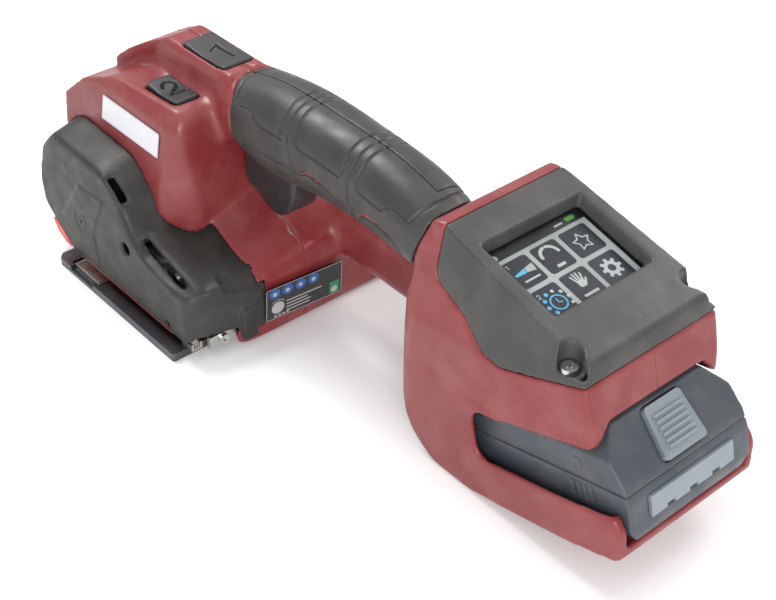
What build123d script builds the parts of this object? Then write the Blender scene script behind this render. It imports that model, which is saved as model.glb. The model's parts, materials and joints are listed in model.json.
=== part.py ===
"""Cordless strapping tool for plastic strap, one STEP file per sub-part.

Frame: millimetres, +X towards the battery, +Y away from the strap side, +Z up.
The origin lies under the middle of the tool, on the surface that it rests on.
"""
from build123d import *
from math import atan2, cos, hypot, pi, radians, sin, sqrt, tan
import os

os.makedirs("parts", exist_ok=True)

# ---- Driving dimensions ------------------------------------------------------
WALL = 2.6                  # housing wall
HANDLE_Y = 1.0              # middle plane of the handle and of the front seam
BLOCK_Y = 24.0              # middle plane of the rear block and of the battery
BLOCK_HALF = 45.0           # half width of the rear block
SEAM_STEP_X = 50.0          # where the seam changes from one plane to the other
BAY_TILT = 15.0             # battery axis above the horizontal
BAY_FOOT_X = 100.0          # where the rising underside of the block begins
FIT = 0.05                  # radial running clearance of shafts and pins

# Strap side
PLATE_X = (-163.0, -56.0)
PLATE_Y = (-70.0, -30.0)
PLATE_TOP = 4.5
COVER_Y = -64.0             # outer face of the side cover
COVER_BOTTOM = 9.0

# Shafts, all along Y: (x, z)
TENSION = (-139.0, 21.0)
IDLER_TWO = (-124.2, 38.6)
IDLER_ONE = (-99.3, 41.3)
MOTOR = (-75.0, 32.0)
ECCENTRIC = (-98.0, 26.5)
WHEEL_RADIUS = 15.0
GEAR_MODULE = 1.0
PINION_TEETH = 12
IDLER_ONE_TEETH = (40, 14)
IDLER_TWO_TEETH = (36, 16)
TENSION_TEETH = 30
STAGE_Y = ((-22.0, -16.0), (-30.0, -24.0), (-38.0, -32.0))
OUTER_PLATE_Y = (-43.4, -40.0)
INNER_PLATE_Y = (-14.5, -11.0)
MOTOR_END_Y = 50.0

# Handle stations: x, top z, bottom z, half width
HANDLE_STATIONS = (
    (-86, 126.0, 90, 17.5),
    (-60, 130.0, 87, 19.0),
    (-34, 132.2, 88, 19.6),
    (-6, 131.8, 92, 19.0),
    (24, 130.2, 92, 18.4),
    (48, 125.2, 90, 18.2),
    (58, 122.0, 88, 16.5),
    (72, 117.0, 88, 11.0),
)
RUBBER = 3.2                # thickness of the grip overmould
GRIP_FRONT = -78.0
GRIP_END = ((50.6, 90.0), (62.4, 127.0))    # slanted rear end of the rubber, low and high

# Battery, in the tilted frame of its bay: u along the axis, n square to it
BATTERY_U = (-24.0, 91.0)
BATTERY_N = (6.6, 50.0)
BATTERY_HALF = 37.5

# Trigger and rocker
TRIGGER_PIN = (-70.0, 104.0)
TRIGGER_HALF = 8.5
ROCKER_PIN = (-112.0, 8.6)


# ---- Helpers -----------------------------------------------------------------
def across(sketch, y_near, y_far):
    """Extrude a sketch, drawn in X and Z, from y_near to y_far."""
    return extrude(Plane.XZ.offset(-y_far) * sketch, amount=y_far - y_near)


def along(sketch, x_front, x_rear):
    """Extrude a sketch, drawn in Y and Z, from x_front to x_rear."""
    return extrude(Plane.YZ.offset(x_front) * sketch, amount=x_rear - x_front)


def upward(sketch, z_low, z_high):
    """Extrude a sketch, drawn in X and Y, from z_low to z_high."""
    return extrude(Plane.XY.offset(z_low) * sketch, amount=z_high - z_low)


def outline(points, radius=0.0):
    """Closed face through the points, with one corner radius or a list of them."""
    if radius:
        return make_face(FilletPolyline(*points, radius=radius, close=True))
    return make_face(Polyline(*points, close=True))


def box(x, y, z):
    """Box between the low and high values of each axis."""
    corner = Pos(sum(x) / 2, sum(y) / 2, sum(z) / 2)
    return corner * Box(x[1] - x[0], y[1] - y[0], z[1] - z[0])


def rod(centre, radius, y_near, y_far):
    """Round bar along Y about the point centre = (x, z)."""
    return across(Pos(*centre) * Circle(radius), y_near, y_far)


def ring(centre, outer, inner, y_near, y_far):
    return across(Pos(*centre) * (Circle(outer) - Circle(inner)), y_near, y_far)


def upright(x, y, radius, z_low, z_high):
    """Round bar along Z."""
    return upward(Pos(x, y) * Circle(radius), z_low, z_high)


def in_bay(shape):
    """Place a shape drawn in bay axes (u, y, n) into the tool."""
    return Pos(BAY_FOOT_X, 0, 0) * Rot(0, -BAY_TILT, 0) * shape


def joined(shapes):
    total = shapes[0]
    for shape in shapes[1:]:
        total = total + shape
    return total


def save(name, *solids):
    """Write one sub-part; several separate solids share a file when alike."""
    shape = solids[0] if len(solids) == 1 else Compound(children=list(solids))
    export_step(shape, f"parts/{name}.step")


# ---- Housing -----------------------------------------------------------------
def handle_loft(inset, x_limits):
    """Lofted handle, shrunk by inset, cut to the given stations."""
    sections = []
    for x, top, bottom, half in HANDLE_STATIONS:
        height = top - bottom - 2 * inset
        width = 2 * (half - inset)
        shape = RectangleRounded(width, height, 0.42 * min(width, height))
        sections.append(Plane.YZ.offset(x) * (Pos(HANDLE_Y, (top + bottom) / 2) * shape))
    return loft(sections) & box(x_limits, (-60, 60), (0, 200))


def grip_length(grow):
    """Everything between the front of the rubber grip and its slanted rear end."""
    (x_low, z_low), (x_high, z_high) = GRIP_END
    lean = (x_high - x_low) / (z_high - z_low)
    base, over = 40, 150
    front = GRIP_FRONT - grow
    rear_base = x_low + lean * (base - z_low) + grow
    rear_over = x_high + lean * (over - z_high) + grow
    return across(outline([(front, base), (rear_base, base), (rear_over, over), (front, over)]), -60, 60)


def lower_body(inset):
    """Low wide part that holds the motor, with a ramp towards the hand gap."""
    side = outline([(-180, 1), (-42, 1), (-38, 62), (-180, 62)], (4, 3, 9, 9))
    plan = outline([(-180, -41), (-44, -41), (-35.5, 66), (-170, 66), (-180, 55)], 10)
    body = across(offset(side, -inset), -60, 90) & upward(offset(plan, -inset), 1 + inset, 90)
    ramp = Plane(origin=(-44, -25, 37 - inset), x_dir=(0, 45, 14), z_dir=(0.42, -0.28, 0.86))
    return body - ramp * Pos(0, 0, 60) * Box(300, 300, 120)


def shoulder(inset):
    """Head above the strap mechanism, widest at the strap side."""
    side = outline([(-183, 30), (-183, 84), (-165, 100), (-140, 110), (-84, 113), (-79, 60), (-79, 30)],
                   (9, 9, 20, 30, 9, 9, 9))
    front = outline([(-49, 30), (-46.5, 72), (-41, 104), (-36, 113.5),
                     (14, 113.5), (29, 101), (35, 60), (35, 30)],
                    (4, 8, 9, 6, 8, 10, 10, 4))
    plan = outline([(-183, -49.5), (-97, -49.5), (-79, -36), (-79, 45), (-166, 45), (-183, 30)],
                   (14, 22, 10, 9, 14, 14))
    body = across(offset(side, -inset), -90, 90) & along(offset(front, -inset), -200, -60)
    return body & upward(offset(plan, -inset), 20, 140)


def ridge(inset):
    """Raised spine of the head that carries button 1 and runs into the handle."""
    side = outline([(-162, 92), (-155, 108), (-143, 120), (-131, 126.5),
                    (-110, 127), (-78.4, 127.3), (-78.4, 92)],
                   (3, 8, 10, 10, 30, 3, 3))
    front = outline([(-17, 88), (-13, 128), (10.5, 128), (15, 88)], (2, 6, 6, 2))
    return across(offset(side, -inset), -60, 60) & along(offset(front, -inset), -170, -70)


def nose(inset):
    """Front end of the ridge, which spreads towards the strap side."""
    plan = outline([(-162, -27), (-148, -21), (-134, -9), (-132, 8), (-162, 12)], (5, 14, 6, 2, 5))
    side = outline([(-166, 88), (-163, 100), (-152, 111), (-138, 120), (-128, 121), (-128, 88)],
                   (3, 8, 10, 8, 2, 3))
    return across(offset(side, -inset), -60, 60) & upward(offset(plan, -inset), 88, 130)


def strut(inset):
    """Lower beam between the motor body and the rear block."""
    section = outline([(20, 30), (57, 30), (57, 60), (20, 60)], 9)
    return along(offset(section, -inset), -60, 66)


def strut_slot():
    """Shallow groove along the underside of the strut."""
    groove = outline([(-8, BLOCK_Y - 1), (50, BLOCK_Y - 1), (50, BLOCK_Y + 10), (-8, BLOCK_Y + 10)], 3)
    return upward(groove, 25, 31.4)


def block_side(inset):
    return offset(outline(
        [(60, 121), (55, 106), (54, 78), (51.5, 56), (53, 28), (61, 11), (74, 0), (BAY_FOOT_X, 0),
         (185, 22.8), (183, 38), (163, 64), (151, 102), (68, 122.6)],
        (3, 12, 20, 20, 20, 14, 14, 20, 5, 5, 5, 5, 4)), -inset)


def block_front(inset):
    half = BLOCK_HALF
    return offset(Pos(BLOCK_Y, 0) * outline(
        [(2 - half, -10), (-half, 20), (-half, 76), (4.5 - half, 94), (10.5 - half, 124),
         (half - 10.5, 124), (half - 4.5, 94), (half, 76), (half, 20), (half - 2, -10)],
        (4, 40, 26, 40, 5, 5, 40, 26, 40, 4)), -inset)


def block_envelope(inset):
    """Rear block with its display head, as one closed outer shape."""
    half = BLOCK_HALF
    cradle = outline([(50, 4 - half), (58, -half), (150, -half), (184.5, 2.5 - half), (186, 0),
                      (184.5, half - 2.5), (150, half), (58, half), (50, half - 4)],
                     (8, 12, 60, 4, 60, 4, 60, 12, 8))
    head = outline([(50, 4 - half), (58, -half), (118, 1 - half), (162, 6.5 - half), (163, 0),
                    (162, half - 6.5), (118, half - 1), (58, half), (50, half - 4)],
                   (8, 12, 60, 7, 60, 7, 60, 12, 8))
    tall = across(block_side(inset), -60, 90) & along(block_front(inset), 40, 200)
    lower = tall & upward(offset(Pos(0, BLOCK_Y) * cradle, -inset), -5, 52)
    upper = tall & upward(offset(Pos(0, BLOCK_Y) * head, -inset), 52, 140)
    return lower + upper


def bezel_space():
    """Space above the joint between the display head and the red block."""
    joint = outline([(67.5, 150), (67.5, 98), (88, 90), (101, 80.5), (112, 79.5), (170, 98.5), (200, 150)],
                    (1, 7, 7, 6, 8, 1, 1))
    return across(joint, -90, 120)


def battery_bay():
    """Slot for the battery, open at the rear, with an open window on each side."""
    half = BATTERY_HALF + 0.6
    low = BATTERY_N[0] - 0.6
    corners = [(-half, low), (half, low), (half, 46), (28, 57), (-28, 57), (-half, 46)]
    section = Pos(BLOCK_Y, 0) * outline(corners)
    bay = in_bay(along(section, BATTERY_U[0] - 2, 140))
    window = outline([(10, 22), (140, 22), (140, 46.5), (10, 46.5)], 7)
    return bay + in_bay(across(window, -60, 110))


def cover_face():
    """Outline of the side cover's flat outer face."""
    return outline([(-181.5, 42), (-180.5, 28), (-173, 21.5), (-165, 17), (-156, COVER_BOTTOM),
                    (-54, COVER_BOTTOM), (-47, 14), (-46.5, 37), (-66, 37.5), (-88, 42.5), (-98, 54),
                    (-106, 67), (-120, 75.5), (-163, 77.5), (-177, 63)],
                   (8, 8, 10, 6, 3, 4, 6, 4, 20, 10, 40, 14, 14, 12, 12))


def saddle_side():
    """Side view of the saddle, the part of the cover that runs back behind the head."""
    return outline([(-108, COVER_BOTTOM), (-41, COVER_BOTTOM), (-41, 33), (-52, 40), (-80, 47),
                    (-96, 53), (-108, 66)],
                   (3, 1, 5, 8, 30, 10, 3))


def cover_foot(grow):
    """Rear foot of the side cover, set into the corner of the motor body."""
    return box((-45 - grow, -41.3 + grow), (-37.5 - grow, -28.5 + grow), (4.7 - grow, 24 + grow))


def cover_plan(inset):
    """Plan of the space the cover keeps to; its rear wall leans forwards on the outer side."""
    corners = [(-230, COVER_Y), (-50.5, COVER_Y), (-41.5, -27.5), (-41.5, 10), (-230, 10)]
    return offset(outline(corners, (1, 5, 4, 1, 1)), -inset)


def cover_block(inset):
    """Side cover as a closed shape: the tapered face and the saddle behind it."""
    depth, draft = 20.0, 10.5
    inner = COVER_Y + depth
    grown = depth * tan(radians(draft))
    face = offset(cover_face(), grown - inset)
    shell = extrude(Plane.XZ.offset(-inner) * face, amount=depth - inset, taper=draft)
    saddle = across(offset(saddle_side(), -inset), inner - 14, -23 - inset)
    low = box((-200, -40), (-80, -20), (-20, COVER_BOTTOM + inset))
    ahead = box((-200, -184 + inset), (-80, 0), (0, 100))
    return (shell + saddle & upward(cover_plan(inset), -20, 120)) - low - ahead


def seam_space(side):
    """Half space of one housing half: side -1 is the strap side, +1 the far side."""
    gap = 0.1
    low, high = (-100, 0) if side < 0 else (0, 120)
    near = HANDLE_Y + side * gap
    far = BLOCK_Y + side * gap
    y_front = (low, near) if side < 0 else (near, high)
    y_rear = (low, far) if side < 0 else (far, high)
    return box((-200, SEAM_STEP_X), y_front, (-10, 150)) + box((SEAM_STEP_X, 200), y_rear, (-10, 150))


def mechanism_room():
    """Opening on the strap side, where the carrier stands on the base plate."""
    sole = box((-166, -53), (-60, PLATE_Y[1] + 1.4), (-2, COVER_BOTTOM + 0.5))
    side = outline([(-165.5, -2), (-48, -2), (-48, 30), (-56, 38), (-80, 45.5), (-98, 51),
                    (-110, 59.5), (-152, 59.5), (-165.5, 43)])
    behind = box((-60, -43.5), (-60, -37.9), (-2, 12.6))
    return sole + across(side, -47.5, -36) + behind


HOUSING_SCREWS = ((-177.5, 66, -24, 14), (-174.5, 18, -8, 40), (-47, 14, -6, 54),
                  (58.5, 32, -8, 56), (60, 92, -4, 52))
HEAD_DEPTH = 4.0            # screw head below the far end of its boss


def screw_bosses():
    """Bosses on the housing's end walls that the long screws run through."""
    bosses = []
    for x, z, y_near, y_far in HOUSING_SCREWS:
        bosses.append(rod((x, z), 3.6, y_near - 6, y_far + HEAD_DEPTH))
    return joined(bosses)


def screw_holes():
    holes = []
    for x, z, y_near, y_far in HOUSING_SCREWS:
        holes.append(rod((x, z), 1.7, y_near, y_far + 9) + rod((x, z), 3.4, y_far + HEAD_DEPTH, y_far + 30))
    return joined(holes)


def housing():
    """Both housing halves as one hollow shell, before the split."""
    saddle_room = box((-101, -30), (-60, -27.5), (30, 90))
    body = lower_body(0) - saddle_room
    outer = joined([body, shoulder(0), ridge(0), nose(0), strut(0), handle_loft(RUBBER, (-86, 70))])
    outer = outer + (handle_loft(0, (-86, 70)) - grip_length(0.4))
    inner = joined([lower_body(WALL), shoulder(WALL), ridge(WALL), nose(WALL), strut(WALL),
                    handle_loft(RUBBER + WALL, (-86, 66))])
    block = block_envelope(0) - bezel_space()
    tray = in_bay(box((-40, 140), (-60, 110), (-60, 5.8)))
    hollow = block_envelope(WALL) - tray
    shell = outer - bezel_space() + block - inner - hollow + screw_bosses() - screw_holes()
    shell = shell - battery_bay() - trigger_slot() - strut_slot() - cover_block(-0.35) - mechanism_room()
    shell = shell - cover_foot(0.4)
    for x, y in ((BUTTON_ONE_X, BUTTON_ONE_Y), (BUTTON_TWO_X, BUTTON_TWO_Y)):
        shell = shell - button_hole(x, y, 0.35)
    return shell - rod(TRIGGER_PIN, 2.0, -60, 60)


# ---- Gears and shafts --------------------------------------------------------
def spur_gear(centre, teeth, y_near, y_far, bore, turn=0.0):
    """Involute spur gear; turn is a fraction of one tooth pitch."""
    pitch = GEAR_MODULE * teeth / 2
    base = pitch * cos(radians(20))
    tip = pitch + 0.92 * GEAR_MODULE
    root = pitch - 1.2 * GEAR_MODULE
    play = 0.07 / pitch
    half = pi / (2 * teeth) + tan(radians(20)) - radians(20) - play
    points = []
    for tooth in range(teeth):
        middle = 2 * pi * (tooth + turn) / teeth
        flank = []
        for step in range(4):
            radius = max(base, root) + (tip - max(base, root)) * step / 3
            roll = sqrt(max((radius / base) ** 2 - 1, 0.0))
            flank.append((radius, half - (roll - atan2(roll, 1))))
        flank = [(root, flank[0][1] + 0.02)] + flank
        points += [(r * cos(middle - a), r * sin(middle - a)) for r, a in flank]
        points += [(r * cos(middle + a), r * sin(middle + a)) for r, a in reversed(flank)]
    face = make_face(Polyline(*points, close=True)) - Circle(bore)
    return across(Pos(*centre) * face, y_near, y_far)


def angle_to(start, end):
    return atan2(end[1] - start[1], end[0] - start[0])


def mesh_turn(teeth, own_centre, driver_teeth, driver_centre, driver_turn):
    """Turn of a gear that puts its tooth gap on the driver's tooth at the line of centres."""
    line = angle_to(driver_centre, own_centre)
    driver_phase = line * driver_teeth / (2 * pi) - driver_turn
    own_line = angle_to(own_centre, driver_centre)
    own_phase = own_line * teeth / (2 * pi)
    return (own_phase + driver_phase + 0.5) % 1.0


def gear_train():
    one_turn = mesh_turn(IDLER_ONE_TEETH[0], IDLER_ONE, PINION_TEETH, MOTOR, 0.0)
    two_turn = mesh_turn(IDLER_TWO_TEETH[0], IDLER_TWO, IDLER_ONE_TEETH[1], IDLER_ONE, 0.0)
    last_turn = mesh_turn(TENSION_TEETH, TENSION, IDLER_TWO_TEETH[1], IDLER_TWO, 0.0)
    axle = 3.0 + FIT
    pinion = spur_gear(MOTOR, PINION_TEETH, *STAGE_Y[0], 2.4, 0.0)
    save("motor_shaft", pinion + rod(MOTOR, 2.5, -53.5, MOTOR_END_Y + 5))
    one = spur_gear(IDLER_ONE, IDLER_ONE_TEETH[0], *STAGE_Y[0], axle, one_turn)
    one = one + spur_gear(IDLER_ONE, IDLER_ONE_TEETH[1], STAGE_Y[1][0], STAGE_Y[0][0], axle, 0.0)
    save("first_idler_gear", one)
    two = spur_gear(IDLER_TWO, IDLER_TWO_TEETH[0], *STAGE_Y[1], axle, two_turn)
    two = two + spur_gear(IDLER_TWO, IDLER_TWO_TEETH[1], STAGE_Y[2][0], STAGE_Y[1][0], axle, 0.0)
    save("second_idler_gear", two)
    save("tension_gear", spur_gear(TENSION, TENSION_TEETH, *STAGE_Y[2], 4.0, last_turn))
    axle_y = (OUTER_PLATE_Y[0] + 0.5, INNER_PLATE_Y[1] - 0.5)
    axles = [rod(centre, 3.0, *axle_y) for centre in (IDLER_ONE, IDLER_TWO)]
    save("idler_axles", *axles)


def tension_parts():
    """Tension wheel with a knurled rim on its shaft."""
    knurl = 72
    rim = [(WHEEL_RADIUS - 0.5 * (step % 2)) for step in range(2 * knurl)]
    points = [(r * cos(pi * k / knurl), r * sin(pi * k / knurl)) for k, r in enumerate(rim)]
    wheel = across(Pos(*TENSION) * (make_face(Polyline(*points, close=True)) - Circle(4.0)), -59.5, -46.5)
    save("tension_wheel", wheel)
    shaft = rod(TENSION, 4.0, -60.5, INNER_PLATE_Y[1])
    save("tension_shaft", shaft)


# ---- Carrier, base plate and rocker ------------------------------------------
BEARING_SEATS = ((TENSION, 8.0, 4.0), (MOTOR, 7.0, 2.5), (ECCENTRIC, 6.5, 2.5))
SPACERS = ((-155.5, 50), (-57, 24), (-158, 24.5))
BASE_SCREWS = ((-158.5, -34), (-98, -34), (-62, -34))


def carrier_plate(y_near, y_far, seats, lower_cut):
    """Aluminium side plate that carries the shafts."""
    face = outline([(-163, PLATE_TOP), (-53, PLATE_TOP), (-50, 28), (-57, 36), (-80, 43),
                    (-98, 48.5), (-112, 58), (-150, 58), (-163, 42)],
                   (2, 2, 5, 6, 20, 10, 8, 8, 8))
    for centre, seat in seats:
        face = face - Pos(*centre) * Circle(seat)
    for centre in (IDLER_ONE, IDLER_TWO):
        face = face - Pos(*centre) * Circle(3.0)
    for centre in SPACERS:
        face = face - Pos(*centre) * Circle(1.6)
    return across(face - outline(lower_cut, 1), y_near, y_far)


def carrier_parts():
    seats = ((TENSION, 8.0), (MOTOR, 7.0), (ECCENTRIC, 6.5))
    rib_window = [(-154, 0), (-104, 0), (-104, 16), (-154, 9.5)]
    save("outer_carrier_plate", carrier_plate(*OUTER_PLATE_Y, seats, rib_window))
    relief = [(-150, 0), (-110, 0), (-114, 8), (-146, 8)]
    save("inner_carrier_plate", carrier_plate(*INNER_PLATE_Y, seats[:2], relief))
    bearings = [ring(centre, seat, bore + FIT, *OUTER_PLATE_Y)
                for (centre, seat), bore in zip(seats, (4.0, 2.5, 2.5))]
    bearings += [ring(TENSION, 8.0, 4.0 + FIT, *INNER_PLATE_Y), ring(MOTOR, 7.0, 2.5 + FIT, *INNER_PLATE_Y)]
    bearings.append(ring(MOTOR, 5.5, 2.5 + FIT, MOTOR_END_Y, MOTOR_END_Y + 5))
    save("shaft_bearings", *bearings)


def socket_screw(centre, head_y, tip_y, radius=1.6):
    """Low-head screw along Y with a hexagon socket."""
    socket = across(Pos(*centre) * RegularPolygon(1.5, 6), head_y, head_y + 0.9)
    head = rod(centre, 3.0, head_y, head_y + 1.4)
    return rod(centre, radius, head_y, tip_y) + head - socket


def carrier_screws():
    return [socket_screw(centre, OUTER_PLATE_Y[0] - 1.4, INNER_PLATE_Y[1]) for centre in SPACERS]


def base_parts():
    """Base plate under the strap channel, with the rocker's window, and the blocks that stand on it."""
    x_low, x_high = PLATE_X
    y_low, y_high = PLATE_Y
    plan = outline([(x_low, y_low + 3), (x_low + 3, y_low), (x_high - 1, y_low), (x_high, y_low + 1),
                    (x_high, y_high), (x_low, y_high)], 0.4)
    plate = upward(plan, 0, PLATE_TOP)
    plate = plate - box((-153, -126), (-67.5, -38.5), (-1, 6)) - box((-154, -103), (-46, -38.5), (-1, 6))
    plate = plate - box((-150, -129), (-71, -66), (2.2, 6))
    screws = []
    for x, y in BASE_SCREWS:
        plate = plate - upright(x, y, 1.75, -1, 6) - upright(x, y, 3.4, -1, 2.2)
        screw = upright(x, y, 1.6, 0.3, 10) + upright(x, y, 3.2, 0.3, 2.2)
        screws.append(screw - upright(x, y, 1.4, -1, 1.3))
    save("base_plate", plate)
    save("base_screws", *screws)
    between = (OUTER_PLATE_Y[1], INNER_PLATE_Y[0])
    blocks = [box((-162.5, -154.5), between, (PLATE_TOP, 13)),
              box((-102.5, -53.5), between, (PLATE_TOP, 10.5))]
    for x, y in BASE_SCREWS:
        blocks = [block - upright(x, y, 1.6, 0, 10) for block in blocks]
    cheek_side = outline([(-119, PLATE_TOP), (-105, PLATE_TOP), (-105, 12), (-112, 16), (-119, 12)],
                         (1, 1, 4, 5, 4))
    blocks.append(across(cheek_side, -39, -33.5) - rod(ROCKER_PIN, 2.5, -60, 0))
    blocks += [ring(centre, 3.2, 1.6, *between) for centre in SPACERS]
    save("carrier_blocks", *blocks)


def rocker_parts():
    """Rocker that presses the tooth plate against the tension wheel."""
    bed = box((-151.5, -127.5), (-66.8, -44), (2.2, 4.0))
    rib_side = outline([(-151.5, 2.2), (-116, 2.2), (-107.5, 5.5), (-106.5, 11), (-112, 14), (-118, 11.5),
                        (-126, 8.5), (-151.5, 7.0)], (0.5, 8, 3, 4, 3, 3, 6, 0.5))
    rib = across(rib_side, -44.2, -40) - rod(ROCKER_PIN, 2.5 + FIT, -60, 0)
    save("rocker", bed + rib)
    save("tooth_plate", tooth_plate(4.0))
    save("rocker_pin", rod(ROCKER_PIN, 2.5, -45, -33.5))


def tooth_plate(bottom):
    """Hardened plate with cross grooves."""
    teeth, pitch = 10, 2.2
    x_low, x_high = -150.0, -128.0
    tip, root = PLATE_TOP + 0.8, PLATE_TOP + 0.2
    points = [(x_low, bottom), (x_high, bottom)]
    for k in range(teeth):
        x = x_high - k * pitch
        points += [(x, tip), (x - 0.9, tip), (x - 1.1, root), (x - pitch + 0.01, root)]
    return across(outline(points), -66.5, -46.5)


# ---- Motor, belt, eccentric, welding shoe and cutter -------------------------
def motor_parts():
    """Brushless motor: can, stator with coils, rotor and end bell."""
    front, rear = INNER_PLATE_Y[1], MOTOR_END_Y
    can = ring(MOTOR, 19.0, 17.6, front, rear) + ring(MOTOR, 19.0, 8.0, front, front + 2)
    save("motor_can", can)
    teeth = ring(MOTOR, 17.6, 15.0, 2, 42)
    coils = []
    for k in range(6):
        around = Pos(*MOTOR) * Rot(0, 0, 60 * k) * Pos(13.1, 0)
        teeth = teeth + across(around * Rectangle(4.4, 5), 2, 42)
        coil = across(around * Rectangle(2.4, 7.2), -1, 45)
        coils.append(coil - across(around * Rectangle(4, 5.2), 1.9, 42.1))
    save("motor_stator", teeth - rod(MOTOR, 11.4, 0, 60))
    save("motor_windings", *coils)
    bell = rod(MOTOR, 19.0, rear, rear + 2.5) + ring(MOTOR, 8.5, 5.5, rear + 2.5, rear + 7)
    bell = bell + ring(MOTOR, 8.5, 0.1, rear + 7, rear + 8.5) - rod(MOTOR, 5.5, rear - 1, rear + 7)
    save("motor_end_bell", bell)
    save("motor_rotor", ring(MOTOR, 10.8, 2.5, 2, 42))
    save("motor_pulley", belt_pulley(MOTOR, 6.0, 2.5))


def belt_pulley(centre, radius, bore):
    low, high = -52.5, -46.5
    wheel = ring(centre, radius, bore, low, high)
    for rim in (low, high - 0.7):
        wheel = wheel + ring(centre, radius + 1.4, bore, rim, rim + 0.7)
    return wheel


def belt_parts():
    """Flat belt round both pulleys, with its straight runs tangent to them."""
    small, large, thick, clear = 6.0, 8.0, 1.1, 0.12
    dx, dz = ECCENTRIC[0] - MOTOR[0], ECCENTRIC[1] - MOTOR[1]
    distance = hypot(dx, dz)
    lean = (large - small) / distance
    heading = atan2(dz, dx)

    def hull(extra):
        corners = []
        for side in (1, -1):
            angle = heading + side * (pi / 2 + lean)
            for centre, radius in ((MOTOR, small), (ECCENTRIC, large)):
                reach = radius + extra
                corners.append((centre[0] + reach * cos(angle), centre[1] + reach * sin(angle)))
        strip = make_face(Polyline(corners[0], corners[1], corners[3], corners[2], close=True))
        return strip + Pos(*MOTOR) * Circle(small + extra) + Pos(*ECCENTRIC) * Circle(large + extra)

    save("drive_belt", across(hull(clear + thick) - hull(clear), -51.5, -47.5))
    save("eccentric_pulley", belt_pulley(ECCENTRIC, large, 2.5))
    throw = 1.2
    cam = rod((ECCENTRIC[0] + throw, ECCENTRIC[1]), 4.0, -58.5, -54)
    shaft = rod(ECCENTRIC, 2.5, -59.5, OUTER_PLATE_Y[1]) + cam
    save("eccentric_shaft", shaft)


def weld_parts():
    """Welding shoe with a slotted yoke round the eccentric, and its guide."""
    x, z = ECCENTRIC
    shoe = box((x - 11, x + 11), (-60, -47.5), (9.8, 14.5))
    yoke = across(outline([(x - 10, 14.5), (x + 10, 14.5), (x + 10, 37), (x - 10, 37)], 1.5), -58.2, -54.4)
    slot = across(Pos(x, z + 1.6) * SlotOverall(19, 11.2, rotation=90), -62, -50)
    shoe = shoe + yoke - slot
    for k in range(9):
        shoe = shoe - box((x - 10 + 2.3 * k, x - 9.2 + 2.3 * k), (-61, -46), (9.0, 10.3))
    save("weld_shoe", shoe)
    cutter = across(outline([(-119, 11.0), (-117.2, 10.2), (-117.2, 34), (-119, 34)]), -60, -46.5)
    save("cutter_blade", cutter)
    holder = box((-121.6, -119.25), (-60, -46.5), (14, 36)) + box((-116.95, -114.6), (-60, -46.5), (14, 36))
    holder = holder + box((-121.6, -114.6), (-46.3, OUTER_PLATE_Y[0]), (14, 36))
    save("cutter_guide", *holder.solids())


# ---- Strap side trim ---------------------------------------------------------
COVER_SCREW = (-102, 39.5)
COVER_HOLE = (-69, 12.5)


def cover_shell():
    """Side cover, open towards the mechanism and along the strap channel."""
    thick = 2.2
    inner = COVER_Y + 20
    shell = cover_block(0) - cover_block(thick)
    kept_to = upward(cover_plan(thick), -20, 120)
    shell = shell - (across(offset(saddle_side(), -thick), inner - 0.5, -15) & kept_to)
    shell = shell - box((-112, -104), (inner - 0.5, -15), (COVER_BOTTOM, 60))
    shell = shell - (box((-157, 0), (COVER_Y + thick, -15), (0, COVER_BOTTOM + thick + 0.6)) & kept_to)
    shell = shell - box((-62, -40), (-59.5, -38), (0, 12.2)) + cover_foot(0)
    shell = shell - across(Pos(-109.5, 69) * Rot(0, 0, -33) * Rectangle(14.2, 9), -61.6, -58.2)
    for x, z, radius in (COVER_SCREW + (3.3,), COVER_HOLE + (1.7,)):
        shell = shell - rod((x, z), radius, -70, -58)
    return shell


def strap_trim():
    save("side_cover", cover_shell())
    guard = outline([(-174.5, 19.5), (-171, 13.5), (-163.5, 9.6), (-157, 9.6), (-165, 16.4), (-173, 21)],
                    0.8)
    save("front_guard", across(guard, -63.6, -60.6) - cover_block(-0.3))
    strip_top = COVER_BOTTOM - 0.1
    strip = box((-149, -66), (COVER_Y + 0.9, COVER_Y + 3.8), (strip_top - 0.5, strip_top))
    strip = strip + box((-149, -66), (COVER_Y + 2.4, COVER_Y + 3.8), (strip_top - 0.5, strip_top + 2.5))
    save("strap_guide_strip", strip)
    funnel = box((-60, -51.8), (-61.8, -55.5), (4.7, 8.7)) - box((-55.5, -51), (-60.6, -57), (5.9, 9))
    screw_at = Pos(-46.2, 9.0)
    plate = box((-49.6, -47.2), (-54, -38.4), (5.2, 11.9)) - along(screw_at * Circle(1.6), -60, -40)
    save("rear_strap_guide", funnel, plate)
    socket = along(screw_at * RegularPolygon(1.5, 6), -46.3, -45)
    head = along(screw_at * Circle(2.6), -47.2, -45.2) - socket
    guide_screw = along(screw_at * Circle(1.6), -58, -47.2) + head
    cover_screw = socket_screw(COVER_SCREW, COVER_Y + 4.0, OUTER_PLATE_Y[0], 1.5)
    save("socket_screws", guide_screw, cover_screw, *carrier_screws())


# ---- Handle, trigger and buttons ---------------------------------------------
def trigger_slot():
    reach = TRIGGER_HALF + 1.0
    return box((-78, -31.5), (HANDLE_Y - reach, HANDLE_Y + reach), (64, 122))


def grip_parts():
    """Rubber overmould on each handle half."""
    gap = 0.05
    sleeve = handle_loft(0, (GRIP_FRONT, 69)) & grip_length(0)
    sleeve = sleeve - handle_loft(RUBBER - gap, (-90, 70)) - trigger_slot()
    for shape in (shoulder(-0.4), ridge(-0.4), block_envelope(-0.4)):
        sleeve = sleeve - shape
    sleeve = sleeve - rod(TRIGGER_PIN, 2.1, -60, 60)
    save("grip_near", sleeve & seam_space(-1))
    save("grip_far", sleeve & seam_space(1))


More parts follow.
